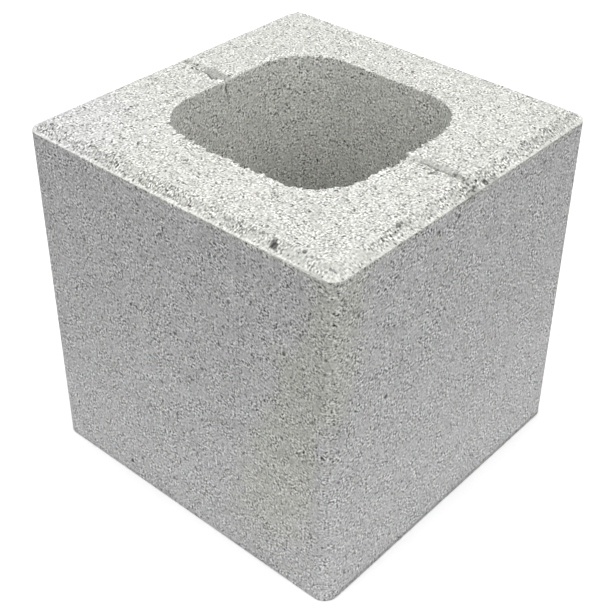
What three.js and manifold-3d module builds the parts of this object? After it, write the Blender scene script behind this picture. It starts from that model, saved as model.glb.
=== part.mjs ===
// Concrete half block: a cast cube with one core through it from top to bottom.
//
// Millimetres, +Z up. The origin is the middle of the bottom bed, and the block stands on z = 0 the way it
// leaves the mould: the open, rough side on top, the pallet side underneath.
// +X and -X are the end webs, which the core bar of the mould leaves its groove in.
// +Y and -Y are the face shells.

import * as THREE from 'three';
import { mergeVertices } from 'three/addons/utils/BufferGeometryUtils.js';
import Module from 'manifold-3d';

// ---- Driving dimensions -------------------------------------------------------------------------

const blockLength = 194; // along X: the 203 mm module less a mortar joint
const blockWidth = 194; // along Y
const blockHeight = 194; // along Z

const arrisRadius = 8; // the upright outer corners

const webThickness = 39.5; // wall at the end webs, measured at the top bed
const shellThickness = 39.5; // wall at the face shells, measured at the top bed
const coreCornerRadius = 31; // the core's upright corners, at the top bed
const coreDraft = 3; // how far each wall thickens from the top bed to the bottom bed

const marginWidth = 7; // the pressed margin around the top bed, from the outer face to its inner line
const marginDrop = 4; // how far the margin lies below the top bed at the outer face
const marginLand = 1; // the level strip that the margin ends in, along the outer arris
const marginCornerRadius = 2.5; // where the inner line of the margin turns its corners

const grooveWidth = 6; // core bar groove, at the surface
const grooveFloorWidth = 2.5;
const grooveDepth = 1.8; // below the surface it runs along
const grooveOffset = 0.8; // the bar sat this far off the middle, towards +Y

const arrisSteps = 12; // facets in a quarter turn
const coreSteps = 24;
const overrun = 2; // cutters reach this far past what they cut

// ---- Shape helpers ------------------------------------------------------------------------------

/** A ring of points at height z: an oblong with round corners, anticlockwise seen from above. */
function roundedRing(halfX, halfY, radius, z, steps) {
  const quarters = [[1, 1], [-1, 1], [-1, -1], [1, -1]];
  return quarters.flatMap(([signX, signY], quarter) => {
    const centreX = signX * (halfX - radius);
    const centreY = signY * (halfY - radius);
    return Array.from({ length: steps + 1 }, (_, step) => {
      const angle = (quarter + step / steps) * Math.PI / 2;
      return [centreX + radius * Math.cos(angle), centreY + radius * Math.sin(angle), z];
    });
  });
}

/** A closed geometry through convex rings of equal count, the first and the last one capped. */
function loft(rings) {
  const count = rings[0].length;
  const last = (rings.length - 1) * count;
  const triangles = [];
  for (let ring = 0; ring < rings.length - 1; ring++) {
    for (let i = 0; i < count; i++) {
      const here = ring * count + i;
      const next = ring * count + (i + 1) % count;
      triangles.push(here, next, next + count);
      triangles.push(here, next + count, here + count);
    }
  }
  for (let i = 1; i < count - 1; i++) {
    triangles.push(0, i + 1, i);
    triangles.push(last, last + i, last + i + 1);
  }
  const geometry = new THREE.BufferGeometry();
  geometry.setAttribute('position', new THREE.Float32BufferAttribute(rings.flat(2), 3));
  geometry.setIndex(triangles);
  return geometry;
}

// ---- Solids -------------------------------------------------------------------------------------

const wasm = await Module();
wasm.setup();

function toSolid(geometry) {
  const welded = mergeVertices(geometry, 1e-4);
  return new wasm.Manifold(new wasm.Mesh({
    numProp: 3,
    vertProperties: new Float32Array(welded.attributes.position.array),
    triVerts: new Uint32Array(welded.index.array),
  }));
}

function toGeometry(solid) {
  const { vertProperties, triVerts } = solid.getMesh();
  const indexed = new THREE.BufferGeometry();
  indexed.setAttribute('position', new THREE.BufferAttribute(vertProperties, 3));
  indexed.setIndex(new THREE.BufferAttribute(triVerts, 1));
  const geometry = indexed.toNonIndexed();
  geometry.computeVertexNormals();
  return geometry;
}

// ---- The block ----------------------------------------------------------------------------------

const halfLength = blockLength / 2;
const halfWidth = blockWidth / 2;
const rimHeight = blockHeight - marginDrop;

/** The outside: upright faces with round arrises, and the pressed margin rising to the top bed. */
function castCube() {
  const ringAt = (inset, radius, z) => roundedRing(halfLength - inset, halfWidth - inset, radius, z, arrisSteps);
  return toSolid(loft([
    ringAt(0, arrisRadius, 0),
    ringAt(0, arrisRadius, rimHeight),
    ringAt(marginLand, arrisRadius - marginLand, rimHeight),
    ringAt(marginWidth, marginCornerRadius, blockHeight),
  ]));
}

/** The core: wide at the top bed and narrower below, as the draft that frees it from the mould. */
function core() {
  const ringAt = (z) => {
    const inset = coreDraft * (1 - z / blockHeight);
    const halfX = halfLength - webThickness - inset;
    const halfY = halfWidth - shellThickness - inset;
    const radius = Math.min(coreCornerRadius - inset, halfX - 1, halfY - 1);
    return roundedRing(halfX, halfY, radius, z, coreSteps);
  };
  return toSolid(loft([ringAt(-overrun), ringAt(blockHeight + overrun)]));
}

/** The core bar's groove: one bar across the whole block, bent down over the margin at each end. */
function coreBarGroove() {
  const flare = (grooveWidth - grooveFloorWidth) / 2 / grooveDepth;
  const halfFloor = grooveFloorWidth / 2;
  const halfMouth = grooveWidth / 2 + flare * overrun;
  const section = (x, surface) => [
    [x, grooveOffset - halfFloor, surface - grooveDepth],
    [x, grooveOffset + halfFloor, surface - grooveDepth],
    [x, grooveOffset + halfMouth, surface + overrun],
    [x, grooveOffset - halfMouth, surface + overrun],
  ];
  const end = halfLength + overrun;
  const landStart = halfLength - marginLand;
  const bedEnd = halfLength - marginWidth;
  return toSolid(loft([
    section(-end, rimHeight),
    section(-landStart, rimHeight),
    section(-bedEnd, blockHeight),
    section(bedEnd, blockHeight),
    section(landStart, rimHeight),
    section(end, rimHeight),
  ]));
}

const block = new THREE.Mesh(
  toGeometry(castCube().subtract(core()).subtract(coreBarGroove())),
  new THREE.MeshStandardMaterial({ color: 0xbfc0bb, roughness: 0.95, metalness: 0 }),
);
block.name = 'concrete_block';

const part = new THREE.Group();
part.add(block);

export default part;
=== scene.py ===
"""Looks of the concrete half block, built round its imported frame.

One closed mesh stands for the block. It is laid out as rings that follow its section: up the core wall, out
over the top bed and its margin, down the outer faces and back under the bottom bed. The relief is then cut
into it, inwards, so that it stays inside the frame's box. The material adds the tones, and the finest grain
as bump. Lengths are metres where nothing else is said.
"""

import math
from collections import namedtuple

import bpy
from mathutils import Matrix, Vector, noise


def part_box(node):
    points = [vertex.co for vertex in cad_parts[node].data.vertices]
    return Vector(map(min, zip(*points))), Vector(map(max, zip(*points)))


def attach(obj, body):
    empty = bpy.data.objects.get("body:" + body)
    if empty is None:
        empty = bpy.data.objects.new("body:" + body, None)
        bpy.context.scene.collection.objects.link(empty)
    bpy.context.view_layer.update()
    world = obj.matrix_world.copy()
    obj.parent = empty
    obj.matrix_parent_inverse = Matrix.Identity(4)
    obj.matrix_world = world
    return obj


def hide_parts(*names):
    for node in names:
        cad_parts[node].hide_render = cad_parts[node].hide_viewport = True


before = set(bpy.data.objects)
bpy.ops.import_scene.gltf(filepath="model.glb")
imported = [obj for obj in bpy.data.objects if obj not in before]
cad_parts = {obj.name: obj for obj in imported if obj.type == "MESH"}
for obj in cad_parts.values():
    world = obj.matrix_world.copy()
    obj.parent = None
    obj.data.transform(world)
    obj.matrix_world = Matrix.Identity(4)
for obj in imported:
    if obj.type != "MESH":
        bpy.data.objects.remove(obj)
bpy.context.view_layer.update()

MM = 0.001
NODE = "concrete_block"

# ---- The block's sizes, as in its construction ----------------------------------------------------

low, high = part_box(NODE)
HALF = (high.x - low.x) / 2
HEIGHT = high.z - low.z
ARRIS_RADIUS = 8 * MM
WALL = 39.5 * MM
CORE_HALF = HALF - WALL
CORE_RADIUS = 31 * MM
CORE_DRAFT = 3 * MM
MARGIN_WIDTH = 7 * MM
MARGIN_DROP = 4 * MM
MARGIN_LAND = 1 * MM
MARGIN_CORNER_RADIUS = 2.5 * MM
RIM_HEIGHT = HEIGHT - MARGIN_DROP
BED_HALF = HALF - MARGIN_WIDTH
LAND_HALF = HALF - MARGIN_LAND

# ---- Small helpers --------------------------------------------------------------------------------


def mixed(share, start, end):
    return start + (end - start) * share


def rise(low_end, high_end, value):
    """0 up to the low end, 1 from the high end on, and a soft rise between them."""
    share = min(max((value - low_end) / (high_end - low_end), 0), 1)
    return share * share * (3 - 2 * share)


def between_stations(stations, place):
    """The value at a place, straight between the (place, value) stations and level beyond them."""
    for (start, start_value), (end, end_value) in zip(stations, stations[1:]):
        if place <= end:
            return mixed(max(place - start, 0) / (end - start), start_value, end_value)
    return stations[-1][1]


# A layer of noise: the size of its lumps, its seed, and about how far it swings each way from 0.
Layer = namedtuple("Layer", "size seed swing")


def lumps(point, size, seed):
    """Smooth noise, about -1 to 1, with lumps of a given size."""
    return noise.noise(point / size + Vector((seed, seed, seed)))


def layered(point, layers):
    """Layers of smooth noise, added up."""
    return sum(layer.swing * lumps(point, layer.size, layer.seed) for layer in layers)


# ---- Layout of the surface ------------------------------------------------------------------------

FINE_COUNT = 800      # points round a ring near the top, where the relief is coarse
PLAIN_COUNT = 400     # points round a ring elsewhere
FINE_WALL = 9 * MM    # how far down the core wall the fine rings go
FINE_FACE = 7 * MM    # and how far down the outer faces
FOOT_CLOSE = 4 * MM   # the height below which the rings draw together towards the foot
GROWTH = 1.25         # from one gap between rings to the next, where the gaps grow

# way: how far the ring lies from the core's top edge, along the section, and below 0 down the core wall
Ring = namedtuple("Ring", "half radius z count way")

BED_END = BED_HALF - CORE_HALF
LAND_START = BED_END + math.hypot(LAND_HALF - BED_HALF, MARGIN_DROP)
RIM = LAND_START + MARGIN_LAND
FOOT = RIM + RIM_HEIGHT


def outline(half, radius, count):
    """Points of a square outline with round corners, evenly spaced from the middle of its +X side."""
    straight = half - radius
    quarter = 2 * straight + radius * math.pi / 2
    points = []
    for i in range(count):
        side, along = divmod(i * 4 * quarter / count, quarter)
        if along < straight:
            x, y = half, along
        elif along > quarter - straight:
            x, y = quarter - along, half
        else:
            angle = (along - straight) / radius
            x = straight + radius * math.cos(angle)
            y = straight + radius * math.sin(angle)
        turn = round(side) * math.pi / 2
        points.append((x * math.cos(turn) - y * math.sin(turn), x * math.sin(turn) + y * math.cos(turn)))
    return points


def girth_of(ring):
    return 8 * (ring.half - ring.radius) + 2 * math.pi * ring.radius


def spread(start, end, step, first=None):
    """Values from start to end, start left out, about a step apart, or growing to it from a first step."""
    length = abs(end - start)
    if first is None:
        count = max(1, round(length / step))
        return [mixed((i + 1) / count, start, end) for i in range(count)]
    ways = [0.0]
    gap = first
    while ways[-1] < length:
        ways.append(ways[-1] + gap)
        gap = min(gap * GROWTH, step)
    return [mixed(way / ways[-1], start, end) for way in ways[1:]]


def core_rings():
    """Up the core wall, from the bottom bed to the core's top edge."""
    fine_start = HEIGHT - FINE_WALL
    heights = list(reversed(spread(fine_start, 0, step=6 * MM, first=2 * MM))) + [fine_start]
    counts = [PLAIN_COUNT] * len(heights)
    fine_heights = list(reversed(spread(HEIGHT, fine_start, step=1.3 * MM, first=0.35 * MM)[:-1]))
    fine_heights.append(HEIGHT)
    heights += fine_heights
    counts += [FINE_COUNT] * len(fine_heights)
    rings = []
    for z, count in zip(heights, counts):
        inset = CORE_DRAFT * (1 - z / HEIGHT)
        rings.append(Ring(CORE_HALF - inset, CORE_RADIUS - inset, z, count, z - HEIGHT))
    return rings


def bed_rings():
    """Out over the top bed and down its margin, to the rim of the outer faces."""
    rings = []
    for half in spread(CORE_HALF, BED_HALF, step=0.9 * MM, first=0.35 * MM):
        share = (half - CORE_HALF) / (BED_HALF - CORE_HALF)
        radius = mixed(share, CORE_RADIUS, MARGIN_CORNER_RADIUS)
        rings.append(Ring(half, radius, HEIGHT, FINE_COUNT, half - CORE_HALF))
    for half in spread(BED_HALF, LAND_HALF, step=0.85 * MM):
        share = (half - BED_HALF) / (LAND_HALF - BED_HALF)
        radius = mixed(share, MARGIN_CORNER_RADIUS, ARRIS_RADIUS - MARGIN_LAND)
        z = mixed(share, HEIGHT, RIM_HEIGHT)
        rings.append(Ring(half, radius, z, FINE_COUNT, mixed(share, BED_END, LAND_START)))
    for half in spread(LAND_HALF, HALF, step=0.5 * MM):
        rings.append(Ring(half, ARRIS_RADIUS - (HALF - half), RIM_HEIGHT, FINE_COUNT, RIM - (HALF - half)))
    return rings


def face_rings():
    """Down the outer faces, from their rim to the bottom bed."""
    fine_end = RIM_HEIGHT - FINE_FACE
    heights = spread(RIM_HEIGHT, fine_end, step=1.1 * MM, first=0.4 * MM)[:-1]
    counts = [FINE_COUNT] * len(heights)
    plain_heights = [fine_end] + spread(fine_end, FOOT_CLOSE, step=2.9 * MM)
    plain_heights += list(reversed(spread(0, FOOT_CLOSE, step=1.2 * MM, first=0.5 * MM)[:-1])) + [0.0]
    heights += plain_heights
    counts += [PLAIN_COUNT] * len(plain_heights)
    return [Ring(HALF, ARRIS_RADIUS, z, count, FOOT - z) for z, count in zip(heights, counts)]


def foot_rings():
    """Back under the bottom bed, from the outer faces to the core."""
    foot_half = CORE_HALF - CORE_DRAFT
    foot_radius = CORE_RADIUS - CORE_DRAFT
    rings = []
    for half in spread(HALF, foot_half, step=5 * MM, first=0.6 * MM)[:-1]:
        radius = mixed((half - foot_half) / (HALF - foot_half), foot_radius, ARRIS_RADIUS)
        rings.append(Ring(half, radius, 0.0, PLAIN_COUNT, FOOT + HALF - half))
    return rings


def stitch(inner, outer):
    """Faces between two rings of vertex numbers. One ring may have twice the points of the other."""
    if len(inner) == len(outer):
        return [(inner[i - 1], outer[i - 1], outer[i], inner[i]) for i in range(len(inner))]
    coarse, fine = sorted((inner, outer), key=len)
    faces = []
    for i in range(len(coarse)):
        here, there = coarse[i - 1], coarse[i]
        first, middle, last = fine[2 * i - 2], fine[2 * i - 1], fine[2 * i]
        faces += [(here, first, middle), (here, middle, there), (there, middle, last)]
    return faces if coarse is inner else [tuple(reversed(face)) for face in faces]


# ---- Relief ---------------------------------------------------------------------------------------

# How deep the grain is cut, at stations along the section.
GRAIN_DEPTH = [
    (-12 * MM, 0.12 * MM),            # core wall, smooth from the mould
    (-1 * MM, 0.3 * MM),
    (3 * MM, 0.8 * MM),               # top bed, open and rough
    (BED_END - 1 * MM, 0.8 * MM),
    (BED_END + 1 * MM, 0.7 * MM),     # margin, pressed by the shoe
    (LAND_START - 1.2 * MM, 0.6 * MM),
    (LAND_START - 0.2 * MM, 0.12 * MM),  # land, a rich fine edge
    (RIM + 1 * MM, 0.1 * MM),         # outer faces, smooth from the mould
    (FOOT, 0.1 * MM),
    (FOOT + 2 * MM, 0.15 * MM),       # bottom bed, from the pallet
]

# How light each part of the section is, beside plain concrete.
TONE = [
    (-50 * MM, 1.0),                  # core wall, paler towards its top
    (-12 * MM, 1.05),
    (-1 * MM, 1.05),
    (0.8 * MM, 1.12),                 # the core's edge, where grains lie bare
    (3.5 * MM, 1.09),                 # top bed
    (BED_END - 0.3 * MM, 1.09),
    (BED_END + 1.2 * MM, 1.02),       # margin, a little darker than the bed
    (LAND_START - 1.0 * MM, 1.02),
    (LAND_START - 0.5 * MM, 1.17),    # land
    (RIM - 0.4 * MM, 1.17),
    (RIM - 0.1 * MM, 1.0),            # outer faces
    (FOOT - 2.9 * MM, 1.0),
    (FOOT - 2.1 * MM, 0.9),           # their foot, with painted shade where its arris would turn down
    (FOOT - 0.5 * MM, 0.9),
    (FOOT + 0.5 * MM, 1.0),           # bottom bed
]

# How open and speckled each part of the section is.
OPENNESS = [
    (-1 * MM, 0.0),
    (1 * MM, 0.5),
    (BED_END - 1 * MM, 0.5),
    (BED_END + 1 * MM, 1.0),
    (LAND_START - 1.4 * MM, 1.0),
    (LAND_START - 0.6 * MM, 0.0),
]

# How much of its fine grain each part of the section shows.
GRAININESS = [
    (-8 * MM, 0.95),
    (0 * MM, 1.0),
    (3 * MM, 0.85),
    (BED_END - 1 * MM, 0.85),
    (BED_END + 1 * MM, 1.1),
    (LAND_START - 1.2 * MM, 1.05),
    (LAND_START - 0.4 * MM, 0.5),
    (RIM - 0.2 * MM, 0.5),
    (RIM + 0.3 * MM, 1.0),
]

# How far the parts of the section stray over each other.
STRAY = [(LAND_START - 1.5 * MM, 1.0), (LAND_START - 0.3 * MM, 0.3)]

# The core bar's groove in the end webs towards -X and +X: stations out from the middle, as (distance, y) of
# its two edges, in millimetres. The edge towards -Y is torn, and at the other one its slope runs out.
GROOVE_NEAR = {
    -1: [(57.5, -1.3), (60, -1.4), (62, -2.6), (63.5, -3.8), (66, -2.7), (69, -1.4), (77, -0.8), (80, -0.8),
         (84, -0.6), (97, -0.4)],
    +1: [(57.5, -0.5), (63, -0.3), (67.5, -0.7), (76, -1.1), (83, -0.1), (87.5, -0.5), (91, -1.2), (93, 0),
         (97, 1.2)],
}
GROOVE_FAR = {
    -1: [(57.5, 2.6), (61.5, 3.1), (64, 3.6), (71.5, 4.6), (76, 3.2), (79.5, 2.6), (85.5, 3.2), (97, 3.2)],
    +1: [(57.5, 2.2), (62, 3.4), (66, 4.6), (72, 5.2), (79, 4.8), (84, 4.4), (90, 3.6), (97, 2.4)],
}
# How much of its depth, and of its painted shade and highlight, it has along its length.
GROOVE_FADE = {
    -1: [(57.5, 0.9), (72, 0.9), (78, 0.85), (84, 0.7), (97, 0.6)],
    +1: [(57.5, 0.3), (62, 0.35), (67, 1.0), (82, 1.0), (86, 0.5), (93, 0.35), (97, 0.3)],
}
# Across it, from 0 at the near edge to 1 at the far one: how deep it is cut, and how light it is painted.
GROOVE_DEPTH = [(0, 0.0), (0.14, 1.7 * MM), (0.35, 1.8 * MM), (1, 0.0)]
# The light across it is painted: a highlight on its near lip, dark shade just behind that lip, and lighter
# shade over its far slope.
GROOVE_SHADE_AND_HIGHLIGHT = {
    -1: [(-0.3, 1.0), (-0.1, 1.08), (0, 1.04), (0.06, 0.5), (0.32, 0.5), (0.44, 0.74), (0.9, 0.76),
         (1.15, 1.0)],
    +1: [(-0.3, 1.0), (-0.1, 1.08), (0, 1.04), (0.06, 0.45), (0.46, 0.45), (0.54, 0.73), (0.9, 0.78),
         (1.1, 1.0)],
}
# And how much the bar smoothed it.
GROOVE_CALM = [(-0.1, 0.0), (0.1, 0.15), (0.8, 0.15), (1.1, 0.0)]
# How much of it reaches each part of the section: the bar hardly marks the land.
GROOVE_SHARE = [
    (-6 * MM, 0.0),
    (0 * MM, 1.0),
    (BED_END, 1.0),
    (LAND_START, 0.5),
    (RIM, 0.35),
    (RIM + 3 * MM, 0.0),
]

# How its edges wander.
GROOVE_WANDER = [Layer(4 * MM, 11.0, 0.3 * MM), Layer(1.5 * MM, 12.0, 0.15 * MM)]

# The grain: its size, how wide the gaps between grains are as a share of that, the lumps in it, and how
# much of its depth the gaps and the two kinds of lumps make up.
GRAIN_SIZE = 2.4 * MM
GAP_WIDTH = 0.4
FINE_LUMPS = [Layer(1.7 * MM, 3.0, 0.7)]
BROAD_LUMPS = [Layer(6 * MM, 7.0, 0.7)]
GAP_PART = 0.35
FINE_PART = 0.35
BROAD_PART = 0.3

# Small hollows, one at most in a cell.
HOLLOW_CELL = 3.2 * MM
HOLLOW_REACH = 0.4            # of the widest one, as a share of its cell
HOLLOW_LEAST = 0.08           # the reach below which a hollow is left out
HOLLOW_RARITY = 0.45          # the share of cells that have none
HOLLOW_FLOOR = 0.4            # the share of its reach that is cut to its full depth
HOLLOW_DEPTH = 0.6 * MM
HOLLOW_PICK = 9.7             # spreads the middles of the cells, so that each draws a value of its own

# Where along the section the hollows set in and where they end.
HOLLOWS_START = (1 * MM, 3 * MM)
HOLLOWS_END = (LAND_START - 1.5 * MM, LAND_START - 0.5 * MM)


def grain_cut(point, way):
    """How far the surface lies below the crowns of its grains here. Most of it lies near them."""
    distances = noise.voronoi(point / GRAIN_SIZE)[0]
    gap = 1 - rise(0.0, GAP_WIDTH, distances[1] - distances[0])
    fine = 0.5 + layered(point, FINE_LUMPS)
    broad = 0.5 + layered(point, BROAD_LUMPS)
    share = min(max(GAP_PART * gap + FINE_PART * fine + BROAD_PART * broad, 0), 1)
    return share * share * between_stations(GRAIN_DEPTH, way)


def crumb(point, way):
    """How much of a small random hollow lies here, 0 to 1. Only the open top has them."""
    open_top = rise(*HOLLOWS_START, way) * (1 - rise(*HOLLOWS_END, way))
    if open_top == 0:
        return 0
    distances, sites = noise.voronoi(point / HOLLOW_CELL)
    chance = abs(noise.cell(sites[0] * HOLLOW_PICK))
    reach = HOLLOW_REACH * rise(HOLLOW_RARITY, 1.0, chance)
    if reach < HOLLOW_LEAST:
        return 0
    return open_top * (1 - rise(HOLLOW_FLOOR * reach, reach, distances[0]))


def across_groove(point):
    """Where a point lies across the core bar's groove: 0 on its near edge, 1 on its far one."""
    side = 1 if point.x > 0 else -1
    out = abs(point.x) / MM
    near = between_stations(GROOVE_NEAR[side], out)
    far = between_stations(GROOVE_FAR[side], out)
    y = (point.y + layered(point, GROOVE_WANDER)) / MM
    return (y - near) / (far - near)


def groove_share(point, way):
    """How much of its full depth, and of its painted shade and highlight, the core bar's groove has here.
    """
    side = 1 if point.x > 0 else -1
    return between_stations(GROOVE_SHARE, way) * between_stations(GROOVE_FADE[side], abs(point.x) / MM)


# ---- Marks ----------------------------------------------------------------------------------------

# Pits and cracks that show: a line from start to end, how wide it reaches each side, how deep it is cut and
# how light it leaves the concrete. Below 1 that tone is painted shade, which the mesh is too coarse to
# cast; above 1 the spot is lighter.
Mark = namedtuple("Mark", "start end reach depth tone")
MARK_FLOOR = 0.3      # the share of its reach that is cut to its full depth
MARK_TONED = 0.6      # the share that has its full tone
MARK_END = 1.1        # and the one at which the tone has faded away


def pit(x, y, z, reach, depth, tone):
    middle = Vector((x, y, z))
    return Mark(middle, middle, reach, depth, tone)


def crack(points, reach, depth, tone):
    """Marks along a line of points."""
    corners = [Vector(point) for point in points]
    return [Mark(start, end, reach, depth, tone) for start, end in zip(corners, corners[1:])]


# Places, reaches and depths are millimetres, and the places lie on the plain surface, before its relief.
MARKS = [
    # pits on the margin towards -Y
    pit(60.0, -92.2, 192.6, 1.8, 0.3, 0.3),
    pit(61.2, -93.0, 192.0, 1.9, 0.3, 0.3),
    pit(60.0, -94.1, 191.3, 0.9, 0.2, 0.35),
    pit(64.2, -93.1, 191.9, 0.8, 0.2, 0.45),
    pit(62.4, -93.9, 191.4, 1.0, 0.2, 0.5),
    pit(75.2, -90.0, 193.9, 1.3, 0.5, 0.3),
    pit(79.7, -90.7, 193.5, 0.9, 0.6, 0.5),
    pit(91.6, -91.2, 193.2, 1.2, 0.5, 0.3),
    pit(50.6, -86.1, 194, 1.1, 0.5, 0.4),
    pit(52.7, -90.6, 193.6, 1.0, 0.3, 0.35),
    pit(51.4, -91.4, 193, 0.8, 0.5, 0.5),
    pit(40.0, -91.6, 192.9, 0.8, 0.5, 0.5),
    pit(-37.0, -92.0, 192.7, 0.9, 0.5, 0.35),
    pit(-42.2, -89.7, 194, 0.8, 0.4, 0.45),
    pit(-19.4, -94.2, 191.2, 0.9, 0.5, 0.4),
    # pits on the margin towards +X
    pit(90.8, -48.1, 193.5, 1.5, 0.5, 0.3),
    pit(90.6, -45.9, 193.6, 1.0, 0.7, 0.4),
    pit(86.0, -63.0, 194, 0.9, 0.6, 0.45),
    pit(95.2, 9.9, 190.8, 1.9, 0.3, 0.13),
    pit(95.5, 9.8, 190.5, 0.7, 0.0, 3.6),
    # pits on the bed
    pit(5.6, 72.4, 194, 1.1, 0.7, 0.4),
    pit(-10.5, 59.4, 194, 1.2, 0.8, 0.4),
    pit(23.8, 59.4, 194, 1.2, 0.8, 0.4),
    pit(-45.6, -51.6, 194, 1.1, 0.7, 0.35),
    pit(-85.2, -89.9, 194, 1.2, 0.7, 0.3),
    pit(-14.9, -61.3, 194, 0.7, 0.5, 0.4),
    pit(-13.6, -59.9, 194, 0.7, 0.5, 0.45),
    pit(1.3, -67.3, 194, 0.8, 0.5, 0.5),
    pit(10.7, -75.9, 194, 0.8, 0.5, 0.5),
    pit(56.2, -65.5, 194, 0.8, 0.5, 0.5),
    pit(40.5, -59.6, 194, 0.8, 0.5, 0.5),
    pit(88.6, 14.2, 194, 0.9, 0.5, 0.4),
    pit(79.4, 15.1, 194, 0.8, 0.5, 0.45),
    pit(76.6, 7.5, 194, 0.8, 0.5, 0.5),
    # pits on the face towards -Y
    pit(-4.6, -97.0, 170.1, 1.0, 0.4, 0.42),
    pit(-40.9, -97.0, 9.0, 1.4, 0.4, 0.15),
    pit(0.2, -97.0, 116.9, 1.15, 0.4, 0.38),
    pit(18.0, -97.0, 105.2, 1.2, 0.4, 0.36),
    pit(-11.6, -97.0, 80.7, 1.3, 0.4, 0.34),
    pit(33.4, -97.0, 137.9, 1.1, 0.4, 0.42),
    pit(-34.5, -97.0, 156.0, 0.8, 0.3, 0.5),
    pit(56.8, -97.0, 181.2, 1.1, 0.3, 0.42),
    pit(66.6, -97.0, 174.0, 0.8, 0.3, 0.5),
    pit(69.8, -97.0, 142.0, 1.3, 0.4, 0.32),
    pit(-2.2, -97.0, 64.8, 1.15, 0.4, 0.36),
    pit(-32.2, -97.0, 16.0, 1.3, 0.4, 0.3),
    pit(-37.8, -97.0, 144.4, 1.15, 0.4, 0.36),
    pit(-7.8, -97.0, 17.6, 1.2, 0.4, 0.36),
    pit(68.2, -97.0, 92.4, 1.2, 0.4, 0.36),
    # pits on the face towards +X
    pit(97.0, -11.7, 183.2, 1.4, 0.4, 0.26),
    pit(97.0, -13.8, 181.6, 0.8, 0.3, 0.5),
    pit(97.0, -26.8, 182.0, 1.3, 0.4, 0.32),
    pit(97.0, -60.2, 183.6, 1.1, 0.3, 0.42),
    pit(97.0, -80.8, 167.2, 1.2, 0.3, 0.38),
    pit(97.0, -58.5, 109.0, 1.4, 0.4, 0.24),
    pit(97.0, -17.2, 135.8, 1.0, 0.4, 0.45),
    pit(97.0, 62.2, 156.0, 0.8, 0.3, 0.5),
    pit(97.0, 58.2, 181.2, 1.2, 0.3, 0.36),
    # the tear along the groove in the -X web, with the holes and bare grains beside it
    *crack([(-74.0, -1.2, 194), (-69.5, -1.8, 194), (-66.4, -3.2, 194), (-64, -4.2, 194)], 0.7, 0.2, 0.3),
    *crack([(-76.4, -3.2, 194), (-73.2, -4.8, 194)], 0.7, 0.2, 0.6),
    *crack([(-73.0, -1.1, 194), (-74.9, -1.1, 194)], 0.8, 0.1, 0.2),
    *crack([(-76.6, -0.8, 194), (-77.2, -1.8, 194)], 0.8, 0.1, 0.25),
    *crack([(-80.2, -0.4, 194), (-78.7, -1.2, 194)], 0.7, 0.1, 0.35),
    pit(-80.7, -2.2, 194, 1.0, 0.1, 0.2),
    pit(-82.5, 0.6, 194, 0.9, 0.1, 0.25),
    pit(-81.7, 2.6, 194, 1.0, 0.1, 0.25),
    pit(-83.6, 2.5, 194, 0.7, 0.1, 0.5),
    pit(-79.2, 1.1, 194, 1.2, 0.0, 1.4),
    pit(-76.1, 1.1, 194, 1.2, 0.0, 1.4),
    pit(-89.1, 2.5, 194, 2.2, 0.0, 0.72),
    *crack([(-62.0, -4.4, 194), (-59.2, -2.9, 194), (-57.8, -4.2, 194)], 1.7, 0.0, 1.14),
    # painted shade over the groove's far slope, beside the tear
    *crack([(-73.0, 3.0, 194), (-60.0, 2.0, 194)], 3.0, 0.0, 0.83),
    # cracks beside the groove in the +X web
    *crack([(71.4, -3.4, 194), (72.8, -2.9, 194)], 0.8, 0.2, 0.5),
    *crack([(75.0, -6.1, 194), (75.9, -3.5, 194)], 0.9, 0.3, 0.3),
    *crack([(77.3, -4.7, 194), (78.7, -3.4, 194)], 0.9, 0.2, 0.6),
    *crack([(66.6, -4.1, 194), (66.6, -2.4, 194), (68.2, -2.2, 194)], 0.7, 0.2, 0.6),
    *crack([(84.0, 2.8, 194), (84.7, -0.7, 194)], 0.7, 0.2, 0.35),
    pit(82.5, 1.2, 194, 1.3, 0.0, 1.3),
    *crack([(85.3, 2.7, 194), (87.9, 2.2, 194), (89.8, 0.9, 194)], 0.8, 0.2, 0.6),
    *crack([(87.1, -0.5, 194), (88.4, -0.3, 194), (90.8, -1.3, 193.5)], 0.8, 0.2, 0.55),
    pit(90.3, 2.8, 193.8, 0.8, 0.2, 0.5),
    pit(92.1, 0.3, 192.6, 0.8, 0.2, 0.5),
    pit(94.1, 2.2, 191.3, 1.0, 0.3, 0.3),
    pit(95.3, 0.6, 190.5, 1.1, 0.3, 0.3),
    # painted shade along the foot of the face towards +X, where its arris would turn down, and along the
    # worn end of the land towards -Y, where its rounded rim would turn down into the face's shade
    *crack([(97, -92.0, 1.8), (97, 93.0, 1.8)], 1.3, 0.0, 0.74),
    *crack([(15, -96.85, 190), (60, -96.75, 190)], 0.45, 0.0, 0.72),
    *crack([(60, -96.6, 190), (92, -96.3, 190)], 0.7, 0.0, 0.7),
    # painted shade: along the worn rim towards +X, where it turns down; in the groove's mark on that face;
    # on the broken rim beside it; and in the seam on the wall of the core
    *crack([(96.6, -90.0, 190), (96.6, 90.0, 190)], 1.4, 0.0, 0.9),
    *crack([(97, -3.1, 191.4), (97, -2.4, 187.5)], 0.9, 0.3, 0.62),
    *crack([(95.7, -5.0, 190.4), (95.4, 3.0, 190.6)], 1.7, 0.8, 0.65),
    *crack([(96.3, 4.5, 190.1), (96.3, 11.0, 190.1)], 1.2, 0.4, 0.93),
    *crack([(95.7, 13.5, 190.4), (95.7, 17.0, 190.4)], 1.8, 0.7, 0.76),
    *crack([(-57.2, -0.9, 190.5), (-57.1, -0.9, 187.3)], 0.8, 0.3, 0.4),
    *crack([(-57.1, 0.1, 186), (-57.0, 0.2, 182)], 0.7, 0.3, 0.65),
]


def off_line(point, start, end):
    """How far a point lies from the line between two points."""
    line = end - start
    if line.length_squared == 0:
        return (point - start).length
    share = min(max((point - start).dot(line) / line.length_squared, 0), 1)
    return (point - start - line * share).length


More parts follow.
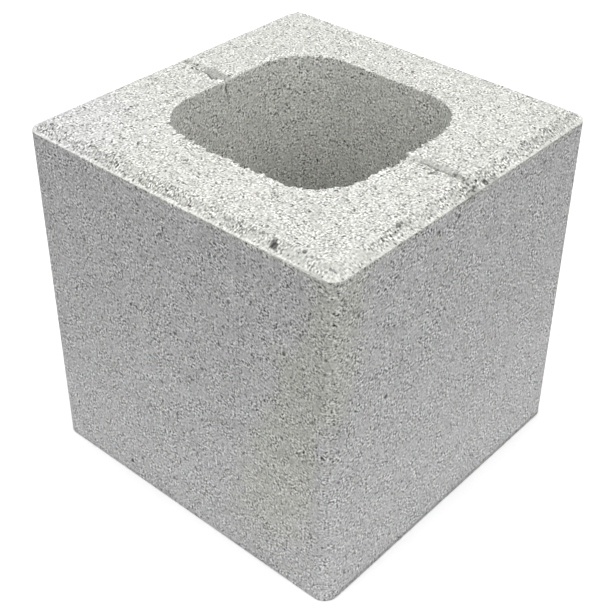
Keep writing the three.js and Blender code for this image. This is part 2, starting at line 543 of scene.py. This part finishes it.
def mark_cut(point):
    """How deep the first mark that reaches this point is cut here."""
    place = point / MM
    for mark in MARKS:
        if (place - mark.start).length < mark.reach + (mark.end - mark.start).length:
            share = off_line(place, mark.start, mark.end) / mark.reach
            if share < 1:
                return (1 - rise(MARK_FLOOR, 1, share)) * mark.depth * MM
    return 0


# ---- Broken edges ---------------------------------------------------------------------------------

# The radius that the core's top edge is worn to, where it is ragged and where it is even, and that of the
# rim of the outer faces.
RAGGED_WEAR = 0.25 * MM
EVEN_WEAR = 0.8 * MM
EVEN_WANDER = [Layer(6 * MM, 22.0, 0.5 * MM)]
RIM_WEAR = 0.25 * MM
RIM_WEAR_LEAST = 0.1 * MM
RIM_WANDER = [Layer(5 * MM, 25.0, 0.3 * MM), Layer(2.5 * MM, 27.0, 0.2 * MM)]

# Chips between the grains of the core's top edge: the grains' size, how deep the chips go, and how far from
# a grain's middle, as a share of its size, the edge stays in place. Nearer than that the grain stands out.
Chips = namedtuple("Chips", "size depth level")
CHIPS = [Chips(2.6 * MM, 3.0 * MM, 0.66), Chips(5.5 * MM, 2.6 * MM, 0.6)]
CHIP_REACH = 2.5 * MM         # how far from the edge a shallow chip in it reaches

# Where the edge is broken back most: middle, half width along the edge and size.
Bite = namedtuple("Bite", "middle reach size")
BITE_FULL = 0.6               # the share of its half width that is broken back all the way
BITES = [
    Bite(Vector((57.5, -1.5)) * MM, 3.5 * MM, 2.2 * MM),
    Bite(Vector((57.5, -9.8)) * MM, 5.2 * MM, 2.2 * MM),
    Bite(Vector((-11.0, -57.5)) * MM, 4.5 * MM, 1.2 * MM),
    Bite(Vector((9.4, -57.5)) * MM, 2.5 * MM, 1.5 * MM),
    Bite(Vector((36.0, -57.5)) * MM, 3.5 * MM, 1.2 * MM),
    Bite(Vector((37.0, 56.0)) * MM, 4 * MM, 1.2 * MM),
]


def raggedness(edge_point):
    """How ragged the core's top edge is: 1 towards -Y and +X, and 0, which is even, opposite."""
    return 1 - rise(-30 * MM, 40 * MM, edge_point.y - edge_point.x)


def core_break(edge_point):
    """Radius that the core's top edge is worn to."""
    return mixed(raggedness(edge_point), EVEN_WEAR + layered(edge_point, EVEN_WANDER), RAGGED_WEAR)


def chip(edge_point, way):
    """How far back a point by the core's top edge lies, below 0 where a bare grain stands out of it."""
    ragged = raggedness(edge_point)
    back = 0
    for chips in CHIPS:
        from_grain = noise.voronoi(edge_point / chips.size)[0][0]
        back += ragged * chips.depth * (from_grain - chips.level)
    for bite in BITES:
        off_middle = (edge_point.xy - bite.middle).length
        back += bite.size * (1 - rise(BITE_FULL, 1, off_middle / bite.reach))
    reach = CHIP_REACH + max(back, 0)
    return back * (1 - rise(0, reach, abs(way)))


def rim_break(rim_point):
    """Radius that the rim of the outer faces is worn to."""
    return max(RIM_WEAR_LEAST, RIM_WEAR + layered(rim_point, RIM_WANDER))


def rounded_back(point, on_top, edge_height, inward, radius):
    """A point near a top edge, moved onto an arc.

    on_top is how far in from the edge it lies, and it is below 0 on the wall under the edge.
    """
    if abs(on_top) >= radius:
        return point.copy()
    angle = math.pi / 4 * (1 + on_top / radius)
    moved = point - inward * max(on_top, 0) + inward * radius * (1 - math.cos(angle))
    moved.z = edge_height - radius * (1 - math.sin(angle))
    return moved


# ---- Stain ----------------------------------------------------------------------------------------

# A faint warm run down the arris between the faces towards -Y and +X: how far its middle lies from that
# arris at the top and at the foot, above 0 on the face towards +X and below 0 on the one towards -Y.
STAIN_TOP = 10 * MM
STAIN_FOOT = -50 * MM
STAIN_REACH = 20 * MM
STAIN_EDGE = (0.5, 1.3)       # the shares of its reach at which it starts to fade and has faded
STAIN_WANDER = [Layer(18 * MM, 33.0, 9 * MM), Layer(6 * MM, 35.0, 4 * MM)]
STAIN_FADE = 60 * MM          # the height below which it fades out

# The top is warm all over, and loses most of that towards one corner.
TOP_WARMTH = 0.8
TOP_END = 3 * MM              # how far below the rim the faces' own warmth takes over
COOL_CORNER = Vector((-HALF, -HALF))
COOL_REACH = 75 * MM
COOL_FULL = 0.35              # the share of that reach that is coolest
COOL_LOSS = 0.8


def face_warmth(point):
    """How warm the outer faces are tinted here, 0 to 1."""
    on_minus_y = abs(point.y + HALF) < ARRIS_RADIUS
    on_plus_x = abs(point.x - HALF) < ARRIS_RADIUS
    if not (on_minus_y or on_plus_x):
        return 0
    along = point.y + HALF if on_plus_x else point.x - HALF
    middle = mixed(point.z / HEIGHT, STAIN_FOOT, STAIN_TOP)
    off_middle = abs(along - middle + layered(point, STAIN_WANDER))
    return (1 - rise(*STAIN_EDGE, off_middle / STAIN_REACH)) * rise(0, STAIN_FADE, point.z)


def warmth_at(point, way):
    """How warm the concrete is tinted here, 0 to 1."""
    cool = 1 - rise(COOL_FULL, 1, (point.xy - COOL_CORNER).length / COOL_REACH)
    top = TOP_WARMTH * (1 - COOL_LOSS * cool)
    return mixed(rise(RIM, RIM + TOP_END, way), top, face_warmth(point))


# ---- Calm corner ----------------------------------------------------------------------------------

# The margin is closed and even towards one corner: how far that reaches, and how much it takes away there
# of the relief, of the openness and of the fine grain.
CALM_CORNER = Vector((HALF, -HALF))
CALM_REACH = 50 * MM
CALM_FULL = 0.4               # the share of that reach that is calmest
CALM_START = 4 * MM           # how far before the margin it sets in
CALM_RELIEF = 0.6
CALM_OPENNESS = 0.8
CALM_GRAIN = 0.3


def calm_at(point, way):
    """How closed the margin's grain is here, 0 to 1."""
    margin = rise(BED_END - CALM_START, BED_END, way) * (1 - rise(LAND_START, RIM, way))
    return margin * (1 - rise(CALM_FULL, 1, (point.xy - CALM_CORNER).length / CALM_REACH))


# ---- The block's mesh -----------------------------------------------------------------------------


def relief(point, normal, way, edge_point, outward):
    """Where a point of the plain surface goes, and how much of a hollow it lies in."""
    if way < BED_END:
        moved = rounded_back(point, way, HEIGHT, outward, core_break(edge_point))
        moved += outward * chip(edge_point, way)
    else:
        moved = rounded_back(point, RIM - way, RIM_HEIGHT, flat_inward(point), rim_break(point))
    moved.z -= groove_share(point, way) * between_stations(GROOVE_DEPTH, across_groove(point))
    rough = 1 - CALM_RELIEF * calm_at(point, way)
    hollow = rough * crumb(point, way)
    cut = max(rough * grain_cut(point, way) + hollow * HOLLOW_DEPTH, mark_cut(point))
    return moved - normal * cut, hollow


def flat_inward(point):
    """The level direction from a point of the outer faces into the block."""
    straight = HALF - ARRIS_RADIUS
    x = min(max(point.x, -straight), straight)
    y = min(max(point.y, -straight), straight)
    return (Vector((x, y, point.z)) - point).normalized()


def flattened(face, places, ring_places, on_wall, girth):
    """Where a face's corners lie on the surface laid flat: as seen from above, or along and up a wall."""
    if not on_wall:
        return [places[corner][:2] for corner in face]
    alongs = [ring_places[corner] for corner in face]
    wraps = max(alongs) - min(alongs) > girth / 2
    return [(along + girth * (wraps and along < girth / 2), places[corner][2])
            for corner, along in zip(face, alongs)]


def store(mesh, name, values, kind="FLOAT", field="value"):
    """Keeps values on the mesh's vertices, for the material."""
    mesh.attributes.new(name, kind, "POINT").data.foreach_set(field, values)


# The surface before its relief. flat is its faces' corners on the surface laid flat, and spokes numbers the
# point of the core's top edge that each vertex lies out from.
Surface = namedtuple("Surface", "vertices faces flat ways spokes")


def plain_surface(rings):
    """The rings stitched together, each to the next and the last to the first."""
    vertices, numbered, ways, spokes, alongs = [], [], [], [], []
    for ring in rings:
        first = len(vertices)
        vertices += [(x, y, ring.z) for x, y in outline(ring.half, ring.radius, ring.count)]
        numbered.append(range(first, first + ring.count))
        ways += [ring.way] * ring.count
        spokes += range(0, FINE_COUNT, FINE_COUNT // ring.count)
        alongs += [girth_of(ring) * i / ring.count for i in range(ring.count)]
    faces, flat = [], []
    for number, ring in enumerate(rings):
        following = (number + 1) % len(rings)
        middle_way = (ring.way + rings[following].way) / 2
        on_wall = middle_way < 0 or RIM < middle_way < FOOT
        for face in stitch(numbered[number], numbered[following]):
            faces.append(face)
            flat += flattened(face, vertices, alongs, on_wall, girth_of(ring))
    return Surface(vertices, faces, flat, ways, spokes)


def plain_mesh(surface):
    mesh = bpy.data.meshes.new("block_surface")
    mesh.from_pydata(surface.vertices, [], surface.faces)
    mesh.polygons.foreach_set("use_smooth", [True] * len(mesh.polygons))
    skin = mesh.uv_layers.new(name="skin")
    skin.uv.foreach_set("vector", [value for pair in surface.flat for value in pair])
    return mesh


def carve(mesh, surface):
    """Cuts the relief into the plain mesh, and keeps on its vertices what the material needs to know."""
    edge = [Vector((x, y, HEIGHT)) for x, y in outline(CORE_HALF, CORE_RADIUS, FINE_COUNT)]
    bed_edge = [Vector((x, y, HEIGHT)) for x, y in outline(BED_HALF, MARGIN_CORNER_RADIUS, FINE_COUNT)]
    outwards = [(there - here).normalized() for here, there in zip(edge, bed_edge)]
    normals = [Vector(vertex.vector) for vertex in mesh.vertex_normals]
    places = [vertex.co.copy() for vertex in mesh.vertices]
    moved, hollows = [], []
    for place, normal, way, spoke in zip(places, normals, surface.ways, surface.spokes):
        new_place, hollow = relief(place, normal, way, edge[spoke], outwards[spoke])
        moved.extend(new_place)
        hollows.append(hollow)
    mesh.vertices.foreach_set("co", moved)
    located = list(zip(places, surface.ways))
    store(mesh, "plain", [value for place in places for value in place], "FLOAT_VECTOR", "vector")
    store(mesh, "way", surface.ways)
    store(mesh, "across_groove", [across_groove(place) for place in places])
    store(mesh, "groove_share", [groove_share(place, way) for place, way in located])
    store(mesh, "calm", [calm_at(place, way) for place, way in located])
    store(mesh, "hollow", hollows)
    store(mesh, "warmth", [warmth_at(place, way) for place, way in located])
    mesh.update()


block_surface = plain_surface(core_rings() + bed_rings() + face_rings() + foot_rings())
mesh = plain_mesh(block_surface)
carve(mesh, block_surface)
block = bpy.data.objects.new("block_surface", mesh)
bpy.context.scene.collection.objects.link(block)

# ---- Material -------------------------------------------------------------------------------------


class Graph:
    """Adds nodes to a material or world, linked to each other; each call gives the new node's output."""

    def __init__(self, owner):
        self.tree = owner.node_tree

    def node(self, kind, inputs, output=0, **settings):
        made = self.tree.nodes.new(kind)
        for name, value in settings.items():
            setattr(made, name, value)
        self.fill(made, inputs)
        return made.outputs[output]

    def fill(self, made, inputs):
        """Links an input to a socket, or sets it to a value."""
        for name, value in inputs.items():
            if isinstance(value, bpy.types.NodeSocket):
                self.tree.links.new(value, made.inputs[name])
            else:
                made.inputs[name].default_value = value

    def math(self, operation, first, second=0.0):
        return self.node("ShaderNodeMath", {0: first, 1: second}, operation=operation)

    def product(self, first, *others):
        for other in others:
            first = self.math("MULTIPLY", first, other)
        return first

    def sum(self, first, *others):
        for other in others:
            first = self.math("ADD", first, other)
        return first

    def without(self, share):
        """What a share leaves of 1."""
        return self.math("SUBTRACT", 1.0, share)

    def vector(self, operation, inputs, output="Vector"):
        return self.node("ShaderNodeVectorMath", inputs, output, operation=operation)

    def remap(self, value, start, end, to_start, to_end, kind="LINEAR"):
        inputs = {"Value": value, "From Min": start, "From Max": end, "To Min": to_start, "To Max": to_end}
        return self.node("ShaderNodeMapRange", inputs, "Result", interpolation_type=kind)

    def noise(self, place, size, seed, detail=0.0):
        """Noise about 0.5, its size in the units of place."""
        inputs = {"Vector": place, "Scale": 1 / size, "Detail": detail, "W": seed * size}
        return self.node("ShaderNodeTexNoise", inputs, 0, noise_dimensions="4D")

    def swing(self, value, most):
        """A value about 0.5 as a swing about 0, up to most each way."""
        return self.math("MULTIPLY", self.math("SUBTRACT", value, 0.5), 2 * most)

    def layered(self, place, layers):
        """Layers of smooth noise, added up."""
        swings = [self.swing(self.noise(place, layer.size, layer.seed), layer.swing) for layer in layers]
        return self.sum(*swings)

    def along(self, value, stations):
        """What between_stations gives."""
        total = stations[0][1]
        for (start, start_value), (end, end_value) in zip(stations, stations[1:]):
            if start_value != end_value:
                total = self.math("ADD", total, self.remap(value, start, end, 0, end_value - start_value))
        return total

    def mix(self, share, start, end):
        """A number that a share takes from start to end."""
        return self.node("ShaderNodeMix", {0: share, 2: start, 3: end}, 0, data_type="FLOAT")

    def mix_colours(self, share, start, end):
        return self.node("ShaderNodeMix", {0: share, 6: start, 7: end}, 2, data_type="RGBA")

    def attribute(self, name, output="Fac"):
        return self.node("ShaderNodeAttribute", {}, output, attribute_name=name)


# Layers of noise in the material, where places and sizes are millimetres. WANDER lets the parts of the
# section stray over each other, and its swings are metres, as the way is.
FINE_GRAINS = [Layer(0.65, 12, 0.4), Layer(1.0, 3, 0.96), Layer(1.3, 4, 0.75), Layer(2.6, 5, 0.2)]
BROAD_GRAINS = [Layer(4.5, 10, 0.14), Layer(11, 11, 0.05)]
WANDER = [Layer(3.0, 13, 0.6 * MM), Layer(1.2, 14, 0.25 * MM)]

# Broad clouds in the tone: their size, the levels of the noise at which they are darkest and lightest, and
# how light they are there.
CLOUD_SIZE = 45
CLOUD_LEVELS = (0.3, 0.7)
CLOUD_TONES = (0.98, 1.02)

# Patches in which the fine grain stands out least and most.
PATCH_SIZE = 5
PATCH_LEVELS = (0.35, 0.65)
PATCH_GRAIN = (0.5, 1.5)

# Specks of painted shade in the gaps between grains: their size, the level of the noise below which they
# lie, how much openness and patches raise it, and how soft their edges are.
SPECK_SIZE = 0.9
SPECK_LEVEL = 0.3
SPECK_OPEN = 0.08
SPECK_PATCHY = 0.03
SPECK_SOFT = 0.09

# Cracks run where the noise is about 0.5: its size, how far from that they are full and have faded, and the
# levels of another noise at which a patch has none and has all of them.
CRACK_SIZE = 2.2
CRACK_WIDTH = (0.012, 0.045)
CRACK_LEVELS = (0.5, 0.58)

# Pores: one at most in a cell, how far the widest reaches, and the share of cells that have none.
Pores = namedtuple("Pores", "cell reach rarity")
LARGE_PORES = Pores(7, 1.15, 0.5)
SMALL_PORES = Pores(3.2, 0.75, 0.4)
PORE_CORE = 0.4               # the share of its reach that is full

# The openness from which on specks are darkest and cracks are all there.
WELL_OPEN = 0.5

# How much painted shade each kind of hole gets, for the shade that the mesh is too coarse to cast in it. A
# speck is darkest where the grain is open.
SPECK_PAINTED_SHADE_CLOSED = 0.3
SPECK_PAINTED_SHADE_OPEN = 0.5
CRACK_PAINTED_SHADE = 0.3
PORE_PAINTED_SHADE = 0.58
HOLLOW_PAINTED_SHADE = 0.3
DARKEST = 0.03

# How high the grain stands in the bump, and how deep each kind of hole is, in millimetres.
GRAIN_BUMP = 0.1
SPECK_BUMP = 0.2
CRACK_BUMP = 0.15
PORE_BUMP = 0.3

COOL_CONCRETE = (0.62, 0.62, 0.62, 1)
WARM_CONCRETE = (0.62, 0.622, 0.58, 1)
ROUGHNESS = 0.95


def marks_shade_and_pale_spots(graph, place):
    """How light the marks leave the concrete, mostly as painted shade: their own tone along their lines,
    and 1 away from them.
    """
    tone = 1.0
    for mark in MARKS:
        line = mark.end - mark.start
        off = graph.vector("SUBTRACT", {0: place, 1: mark.start})
        if line.length_squared > 0:
            part = tuple(line / line.length_squared)
            share = graph.remap(graph.vector("DOT_PRODUCT", {0: off, 1: part}, "Value"), 0, 1, 0, 1)
            nearest = graph.vector("SCALE", {0: line, "Scale": share})
            off = graph.vector("SUBTRACT", {0: off, 1: nearest})
        distance = graph.vector("LENGTH", {0: off}, "Value")
        full, faded = MARK_TONED * mark.reach, MARK_END * mark.reach
        tone = graph.product(tone, graph.remap(distance, full, faded, mark.tone, 1.0, "SMOOTHSTEP"))
    return tone


def groove_shading_and_calm(graph, place):
    """The painted shade and highlight of the core bar's groove, and how much of its grain it leaves."""
    across = graph.attribute("across_groove")
    share = graph.attribute("groove_share")
    on_right = graph.math("GREATER_THAN", graph.node("ShaderNodeSeparateXYZ", {0: place}, "X"), 0.0)
    tone = graph.mix(on_right, graph.along(across, GROOVE_SHADE_AND_HIGHLIGHT[-1]), graph.along(across, GROOVE_SHADE_AND_HIGHLIGHT[+1]))
    darker = graph.product(graph.without(tone), share)
    calmer = graph.product(graph.along(across, GROOVE_CALM), share)
    return graph.without(darker), graph.without(calmer)


def grains(graph, skin, place, graininess):
    """Fine and broad light and dark grains about 0, and how much the fine ones stand out in patches."""
    patches = graph.noise(place, PATCH_SIZE, seed=6, detail=1)
    patchy = graph.remap(patches, *PATCH_LEVELS, *PATCH_GRAIN)
    fine = graph.product(graph.layered(skin, FINE_GRAINS), patchy, graininess)
    return fine, graph.layered(place, BROAD_GRAINS), patchy


def speck_share(graph, skin, patchy, openness):
    """How much of a gap between grains, painted dark as shade, lies here, 0 to 1."""
    level = graph.sum(graph.product(openness, SPECK_OPEN), graph.product(patchy, SPECK_PATCHY), SPECK_LEVEL)
    full = graph.math("SUBTRACT", level, SPECK_SOFT)
    return graph.remap(graph.noise(skin, SPECK_SIZE, seed=7, detail=1), full, level, 1.0, 0.0, "SMOOTHSTEP")


def crack_share(graph, skin, place, openness):
    """How much of a short curved crack lies here, 0 to 1. Only patches of the open top have them."""
    off_line = graph.math("ABSOLUTE", graph.math("SUBTRACT", graph.noise(skin, CRACK_SIZE, seed=8), 0.5))
    line = graph.remap(off_line, *CRACK_WIDTH, 1.0, 0.0, "SMOOTHSTEP")
    patches = graph.noise(place, PATCH_SIZE, seed=9, detail=1)
    patch = graph.remap(patches, *CRACK_LEVELS, 0.0, 1.0, "SMOOTHSTEP")
    return graph.product(line, patch, graph.remap(openness, 0, WELL_OPEN, 0, 1))


def pore_share(graph, skin, pores):
    """How much of a round pore lies here, 0 to 1."""
    texture = graph.tree.nodes.new("ShaderNodeTexVoronoi")
    texture.voronoi_dimensions = "2D"
    graph.fill(texture, {"Vector": skin, "Scale": 1 / pores.cell, "Randomness": 1.0})
    chance = graph.node("ShaderNodeSeparateColor", {"Color": texture.outputs["Color"]}, "Red")
    reach = graph.remap(chance, pores.rarity, 1, 0, pores.reach / pores.cell)
    core = graph.math("MULTIPLY", reach, PORE_CORE)
    return graph.remap(texture.outputs["Distance"], core, reach, 1.0, 0.0, "SMOOTHSTEP")


def concrete():
    """The concrete's tone and bump, from layers of noise and from what the mesh keeps on its vertices."""
    material = bpy.data.materials.new("cast_concrete")
    material.use_nodes = True
    graph = Graph(material)
    plain = graph.attribute("plain", "Vector")
    place = graph.vector("SCALE", {0: plain, "Scale": 1 / MM})
    laid_flat = graph.node("ShaderNodeUVMap", {}, 0, uv_map="skin")
    skin = graph.vector("SCALE", {0: laid_flat, "Scale": 1 / MM})
    way = graph.attribute("way")
    way = graph.sum(way, graph.product(graph.layered(skin, WANDER), graph.along(way, STRAY)))
    calm = graph.attribute("calm")
    openness = graph.product(graph.along(way, OPENNESS), graph.without(graph.product(calm, CALM_OPENNESS)))

    groove_shade_and_highlight, groove_grain = groove_shading_and_calm(graph, place)
    graininess = graph.product(
        graph.along(way, GRAININESS),
        groove_grain,
        graph.without(graph.product(calm, CALM_GRAIN)),
    )
    fine, broad, patchy = grains(graph, skin, place, graininess)
    speck = speck_share(graph, skin, patchy, openness)
    speck_shade = graph.remap(openness, 0, WELL_OPEN, SPECK_PAINTED_SHADE_CLOSED, SPECK_PAINTED_SHADE_OPEN)
    short_crack = crack_share(graph, skin, place, openness)
    pore = graph.math("MAXIMUM", pore_share(graph, skin, LARGE_PORES), pore_share(graph, skin, SMALL_PORES))
    clouds = graph.noise(place, CLOUD_SIZE, seed=1, detail=2)
    cloud_tone = graph.remap(clouds, *CLOUD_LEVELS, *CLOUD_TONES)

    tone = graph.product(
        graph.along(way, TONE),
        cloud_tone,
        groove_shade_and_highlight,
        graph.sum(1.0, fine, broad),
        # painted shade in the specks, short cracks, pores and hollows
        graph.without(graph.product(speck, speck_shade)),
        graph.without(graph.product(short_crack, CRACK_PAINTED_SHADE)),
        graph.without(graph.product(pore, PORE_PAINTED_SHADE)),
        graph.without(graph.product(graph.attribute("hollow"), HOLLOW_PAINTED_SHADE)),
        marks_shade_and_pale_spots(graph, place),
    )
    colour = graph.mix_colours(graph.attribute("warmth"), COOL_CONCRETE, WARM_CONCRETE)
    shaded = graph.vector("SCALE", {0: colour, "Scale": graph.math("MAXIMUM", tone, DARKEST)})

    gaps = graph.sum(
        graph.product(speck, SPECK_BUMP),
        graph.product(short_crack, CRACK_BUMP),
        graph.product(pore, PORE_BUMP),
    )
    height = graph.math("SUBTRACT", graph.product(fine, GRAIN_BUMP), gaps)
    bump = {"Height": height, "Distance": 1 * MM, "Strength": 1.0}
    normal = graph.node("ShaderNodeBump", bump, "Normal")

    shader = graph.tree.nodes["Principled BSDF"]
    graph.tree.links.new(shaded, shader.inputs["Base Color"])
    graph.tree.links.new(normal, shader.inputs["Normal"])
    shader.inputs["Roughness"].default_value = ROUGHNESS
    return material


mesh.materials.append(concrete())
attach(block, "root")
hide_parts(NODE)

# ---- Stage, light and camera ----------------------------------------------------------------------

WHITE = (1, 1, 1, 1)
FLOOR_HALF = 6
FLOOR_GAP = 0.2 * MM          # keeps the floor apart from the block's bottom bed

# What the floor throws back on the block: most by its foot, and least from the far end of the fade.
BOUNCE_NEAR = 0.75
BOUNCE_FAR = 0.15
BOUNCE_FADE = (0.18, 0.5)

# The glow of the floor that only the camera sees, which keeps it white where the lamps don't reach.
GLOW_NEAR = 0.25
GLOW_FAR = 0.5
GLOW_FADE = (0.4, 3)


def floor_material():
    """White to the camera, also far from the lamps, and less so to the block."""
    material = bpy.data.materials.new("floor")
    material.use_nodes = True
    graph = Graph(material)
    distance = graph.vector("LENGTH", {0: graph.node("ShaderNodeNewGeometry", {}, "Position")}, "Value")
    to_camera = graph.node("ShaderNodeLightPath", {}, "Is Camera Ray")
    bounce = graph.remap(distance, *BOUNCE_FADE, BOUNCE_NEAR, BOUNCE_FAR, "SMOOTHSTEP")
    glow = graph.remap(distance, *GLOW_FADE, GLOW_NEAR, GLOW_FAR)
    shader = graph.tree.nodes["Principled BSDF"]
    graph.tree.links.new(graph.mix(to_camera, bounce, 1.0), shader.inputs["Base Color"])
    graph.tree.links.new(graph.product(to_camera, glow), shader.inputs["Emission Strength"])
    shader.inputs["Emission Color"].default_value = WHITE
    shader.inputs["Roughness"].default_value = 1.0
    shader.inputs["Specular IOR Level"].default_value = 0.0
    return material


def floor_object():
    floor_mesh = bpy.data.meshes.new("floor")
    corners = [(x * FLOOR_HALF, y * FLOOR_HALF, 0) for x, y in [(-1, -1), (1, -1), (1, 1), (-1, 1)]]
    floor_mesh.from_pydata(corners, [], [(0, 1, 2, 3)])
    floor_mesh.materials.append(floor_material())
    made = bpy.data.objects.new("floor", floor_mesh)
    made.location.z = -FLOOR_GAP
    bpy.context.scene.collection.objects.link(made)
    return made


floor = floor_object()

WORLD_LIGHT = 0.49


def studio_world():
    """Soft white light from all round, and plain white where the camera looks past the floor."""
    world = bpy.data.worlds.new("studio")
    world.use_nodes = True
    graph = Graph(world)
    path = graph.tree.nodes.new("ShaderNodeLightPath")
    seen = graph.math("MAXIMUM", path.outputs["Is Camera Ray"], path.outputs["Is Glossy Ray"])
    seen = graph.math("MAXIMUM", seen, path.outputs["Is Transmission Ray"])
    background = graph.tree.nodes["Background"]
    background.inputs["Color"].default_value = WHITE
    graph.tree.links.new(graph.remap(seen, 0, 1, WORLD_LIGHT, 1.0), background.inputs["Strength"])
    return world


bpy.context.scene.world = studio_world()

# Square lamps, which all face one place. Their power is in watts.
LAMP_AIM = Vector((0, 0, 0.1))
Lamp = namedtuple("Lamp", "name place size power")
LAMPS = [
    Lamp("over", Vector((-0.15, 0.07, 1.6)), 1.2, 12.0),
    Lamp("right", Vector((1.4, -0.1, 1.2)), 0.8, 6.7),
    Lamp("left", Vector((-0.1, -1.4, 1.2)), 0.8, 3.8),
]

for lamp in LAMPS:
    light = bpy.data.lights.new(lamp.name, "AREA")
    light.shape = "SQUARE"
    light.size = lamp.size
    light.energy = lamp.power
    light_object = bpy.data.objects.new(lamp.name, light)
    light_object.location = lamp.place
    light_object.rotation_euler = (LAMP_AIM - lamp.place).to_track_quat("-Z", "Y").to_euler()
    bpy.context.scene.collection.objects.link(light_object)

# The photo's camera, solved from the block's straight edges. The lens and the sensor are in millimetres,
# and the shift is a share of the picture's width.
CAMERA_PLACE = Vector((346.0, -397.5, 469.9)) * MM
CAMERA_AIM = Vector((8.8, 7.2, 97.05)) * MM
CAMERA_ROLL = math.radians(1.36)
SENSOR_WIDTH = 36
LENS = 71.27
SHIFT_X = -0.0386
SHIFT_Y = -0.0455
NEAREST_SEEN = 0.01

camera_data = bpy.data.cameras.new("camera")
camera_data.sensor_width = SENSOR_WIDTH
camera_data.lens = LENS
camera_data.shift_x = SHIFT_X
camera_data.shift_y = SHIFT_Y
camera_data.clip_start = NEAREST_SEEN
camera = bpy.data.objects.new("camera", camera_data)
camera.location = CAMERA_PLACE
facing = (CAMERA_AIM - CAMERA_PLACE).to_track_quat("-Z", "Y").to_matrix()
camera.rotation_euler = (facing @ Matrix.Rotation(CAMERA_ROLL, 3, "Z")).to_euler()
bpy.context.scene.collection.objects.link(camera)
bpy.context.scene.camera = camera
bpy.context.scene.view_settings.view_transform = "Standard"
